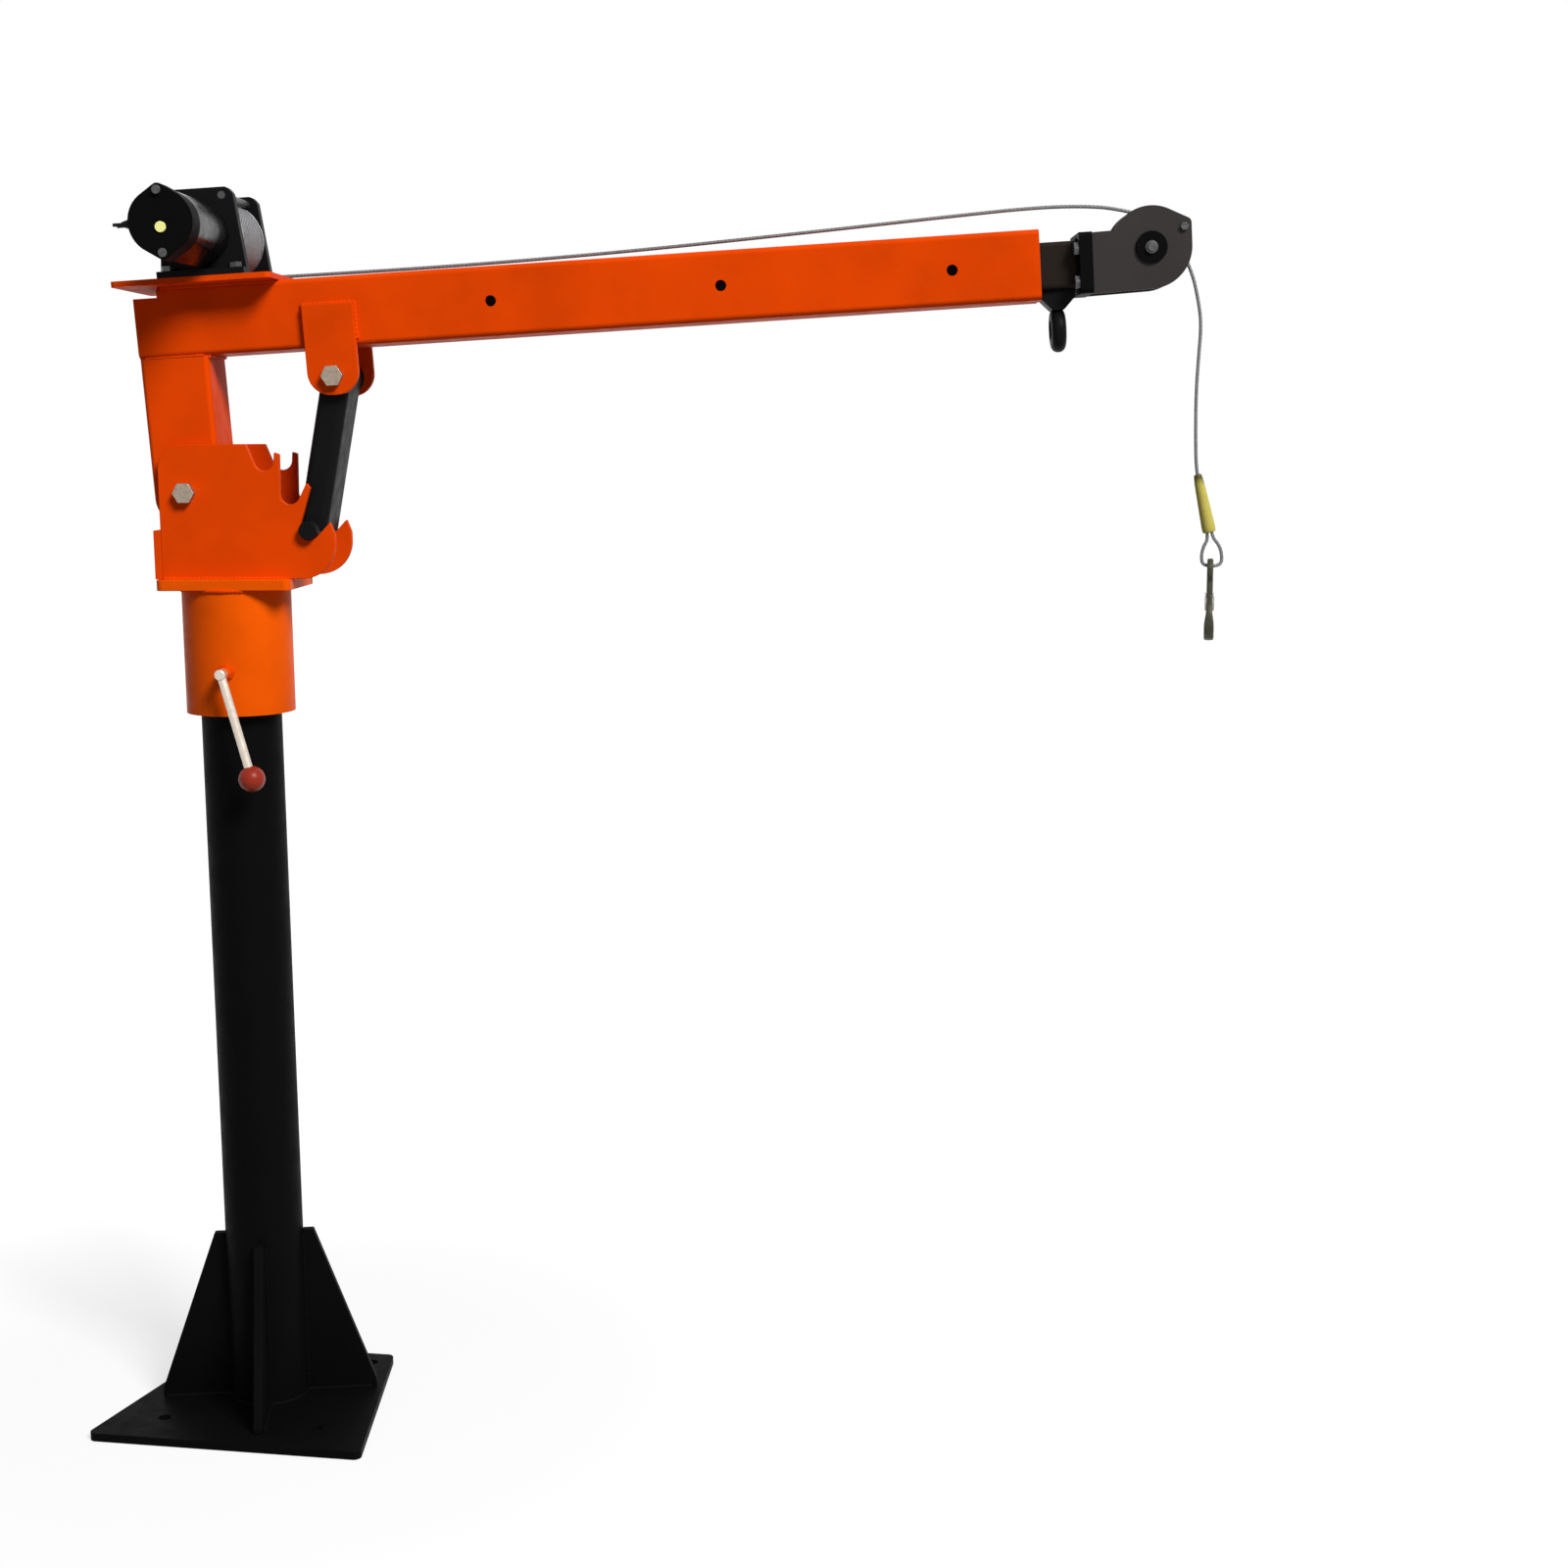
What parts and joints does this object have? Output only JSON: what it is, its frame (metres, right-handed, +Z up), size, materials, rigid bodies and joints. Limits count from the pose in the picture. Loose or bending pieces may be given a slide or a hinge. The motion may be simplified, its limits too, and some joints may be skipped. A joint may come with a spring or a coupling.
{
  "type": "truck-mounted pillar crane",
  "caption": "Pillar crane on a gusseted base plate: slewing head with notched luffing plates, telescopic boom with pulley head, electric winch, wire rope and latched hook.",
  "frame": {"origin": "on the post's axis at the underside of the base plate", "axes": "+X along the boom in plan, +Z up along the post, +Y to the left of the boom"},
  "size_m": [1.284, 0.3406, 1.3929],
  "materials": {
    "orange_paint": "satin",
    "black_paint": "satin",
    "dark_grey": "satin",
    "motor_shell": "glossy",
    "zinc_steel": "satin",
    "bare_steel": "satin",
    "hook_steel": "satin",
    "wire_rope": "satin",
    "bronze": "satin",
    "slide_plastic": "matte",
    "red_knob": "glossy",
    "yellow_sleeve": "matte",
    "yellow_plug": "matte",
    "black_plastic": "matte"
  },
  "bodies": {
    "base": {"base_plate": "black_paint", "post_tube": "black_paint", "post_cap": "black_paint", "gussets": "black_paint"},
    "swivel": {"sleeve": "orange_paint", "swivel_bushes": "bronze", "thrust_washer": "bronze", "flange_plate": "orange_paint", "notched_plate_near": "orange_paint", "notched_plate_far": "orange_paint", "back_plate": "orange_paint", "pivot_bolt": "zinc_steel", "lock_boss": "orange_paint"},
    "lock_lever": {"lock_screw": "zinc_steel", "lock_rod": "zinc_steel", "lock_ball": "red_knob"},
    "boom": {"boom_tube": "orange_paint", "mast_tube": "orange_paint", "pivot_bush": "bronze", "boom_lugs": "orange_paint", "lug_pin": "zinc_steel", "mouth_pads": "slide_plastic", "winch_plate": "orange_paint", "winch_bolts": "zinc_steel", "winch_bracket_near": "black_paint", "winch_bracket_far": "black_paint", "winch_tie_rods": "zinc_steel", "motor_can": "motor_shell", "motor_cover": "black_paint", "motor_screws": "zinc_steel", "motor_plug": "yellow_plug", "motor_terminals": "black_plastic", "gearbox": "black_paint", "rope_run": "wire_rope"},
    "strut": {"strut_tube": "black_paint", "strut_bush": "black_paint", "strut_bar": "black_paint"},
    "arm": {"arm_tube": "black_paint", "tail_pads": "slide_plastic", "arm_flange": "black_paint", "head_flange": "black_paint", "cheek_near": "dark_grey", "cheek_far": "dark_grey", "head_bolts": "zinc_steel", "pulley_pin": "zinc_steel", "pulley_washers": "black_paint", "tip_eye": "black_paint", "rope_wrap": "wire_rope"},
    "pulley": {"pulley": "bare_steel"},
    "drum": {"winch_drum": "bare_steel", "rope_core": "wire_rope", "rope_winding": "wire_rope"},
    "drive": {"drive_shaft": "bare_steel", "motor_armature": "bare_steel"},
    "clutch": {"clutch_knob": "black_plastic"},
    "fall": {"rope_drop": "wire_rope"},
    "hook": {"rope_sleeve": "yellow_sleeve", "rope_loop": "wire_rope", "hook": "hook_steel"},
    "latch": {"latch": "hook_steel"}
  },
  "joints": [
    {"name": "slew", "type": "hinge", "parent": "base", "child": "swivel", "pos_m": [0, 0, 0.9], "axis": [0, 0, 1], "continuous": true},
    {"name": "clamp", "type": "hinge", "parent": "swivel", "child": "lock_lever", "pos_m": [0, -0.0808, 0.872], "axis": [0, -1, 0], "range_deg": [-90, 90]},
    {"name": "luff", "type": "hinge", "parent": "swivel", "child": "boom", "pos_m": [-0.0397, 0, 1.0684], "axis": [0, -1, 0], "range_deg": [0, 40]},
    {"name": "strut_swing", "type": "hinge", "parent": "boom", "child": "strut", "pos_m": [0.1273, 0, 1.19381], "axis": [0, -1, 0], "range_deg": [0, 10]},
    {"name": "extend", "type": "slide", "parent": "boom", "child": "arm", "axis": [0.9983, 0, 0.0581], "range_m": [0, 0.5], "deforming": ["rope_run"]},
    {"name": "pulley_turn", "type": "hinge", "parent": "arm", "child": "pulley", "pos_m": [1.01402, 0, 1.32584], "axis": [0, 1, 0], "range_deg": [-260.6, 1476]},
    {"name": "drum_turn", "type": "hinge", "parent": "boom", "child": "drum", "pos_m": [-0.00711, 0, 1.34326], "axis": [0, 1, 0], "range_deg": [-1188, 209.8]},
    {"name": "drive_turn", "type": "hinge", "parent": "boom", "child": "drive", "pos_m": [-0.00711, 0, 1.34326], "axis": [0, 1, 0], "continuous": true},
    {"name": "clutch_turn", "type": "hinge", "parent": "boom", "child": "clutch", "pos_m": [-0.00711, 0.12, 1.34326], "axis": [0, 1, 0], "range_deg": [0, 90]},
    {"name": "rope_swing", "type": "hinge", "parent": "arm", "child": "fall", "pos_m": [1.01402, 0, 1.32584], "axis": [0, -1, 0], "range_deg": [-40, 0], "deforming": ["rope_wrap"]},
    {"name": "hoist", "type": "slide", "parent": "fall", "child": "hook", "axis": [0, 0, 1], "range_m": [-0.85, 0.15], "deforming": ["rope_drop"]},
    {"name": "latch_swing", "type": "hinge", "parent": "hook", "child": "latch", "pos_m": [1.09003, 0, 0.94804], "axis": [-0.9851, 0.1719, 0], "range_deg": [0, 45], "stiffness_Nm_per_rad": 0.003, "springref_deg": -34.38}
  ],
  "couplings": [
    {"joint": "strut_swing", "follows": "luff", "ratio": 0.25},
    {"joint": "rope_swing", "follows": "luff", "ratio": -1},
    {"joint": "drum_turn", "follows": "hoist", "rad_per_m": 24.39},
    {"joint": "pulley_turn", "follows": "hoist", "rad_per_m": -30.303}
  ]
}
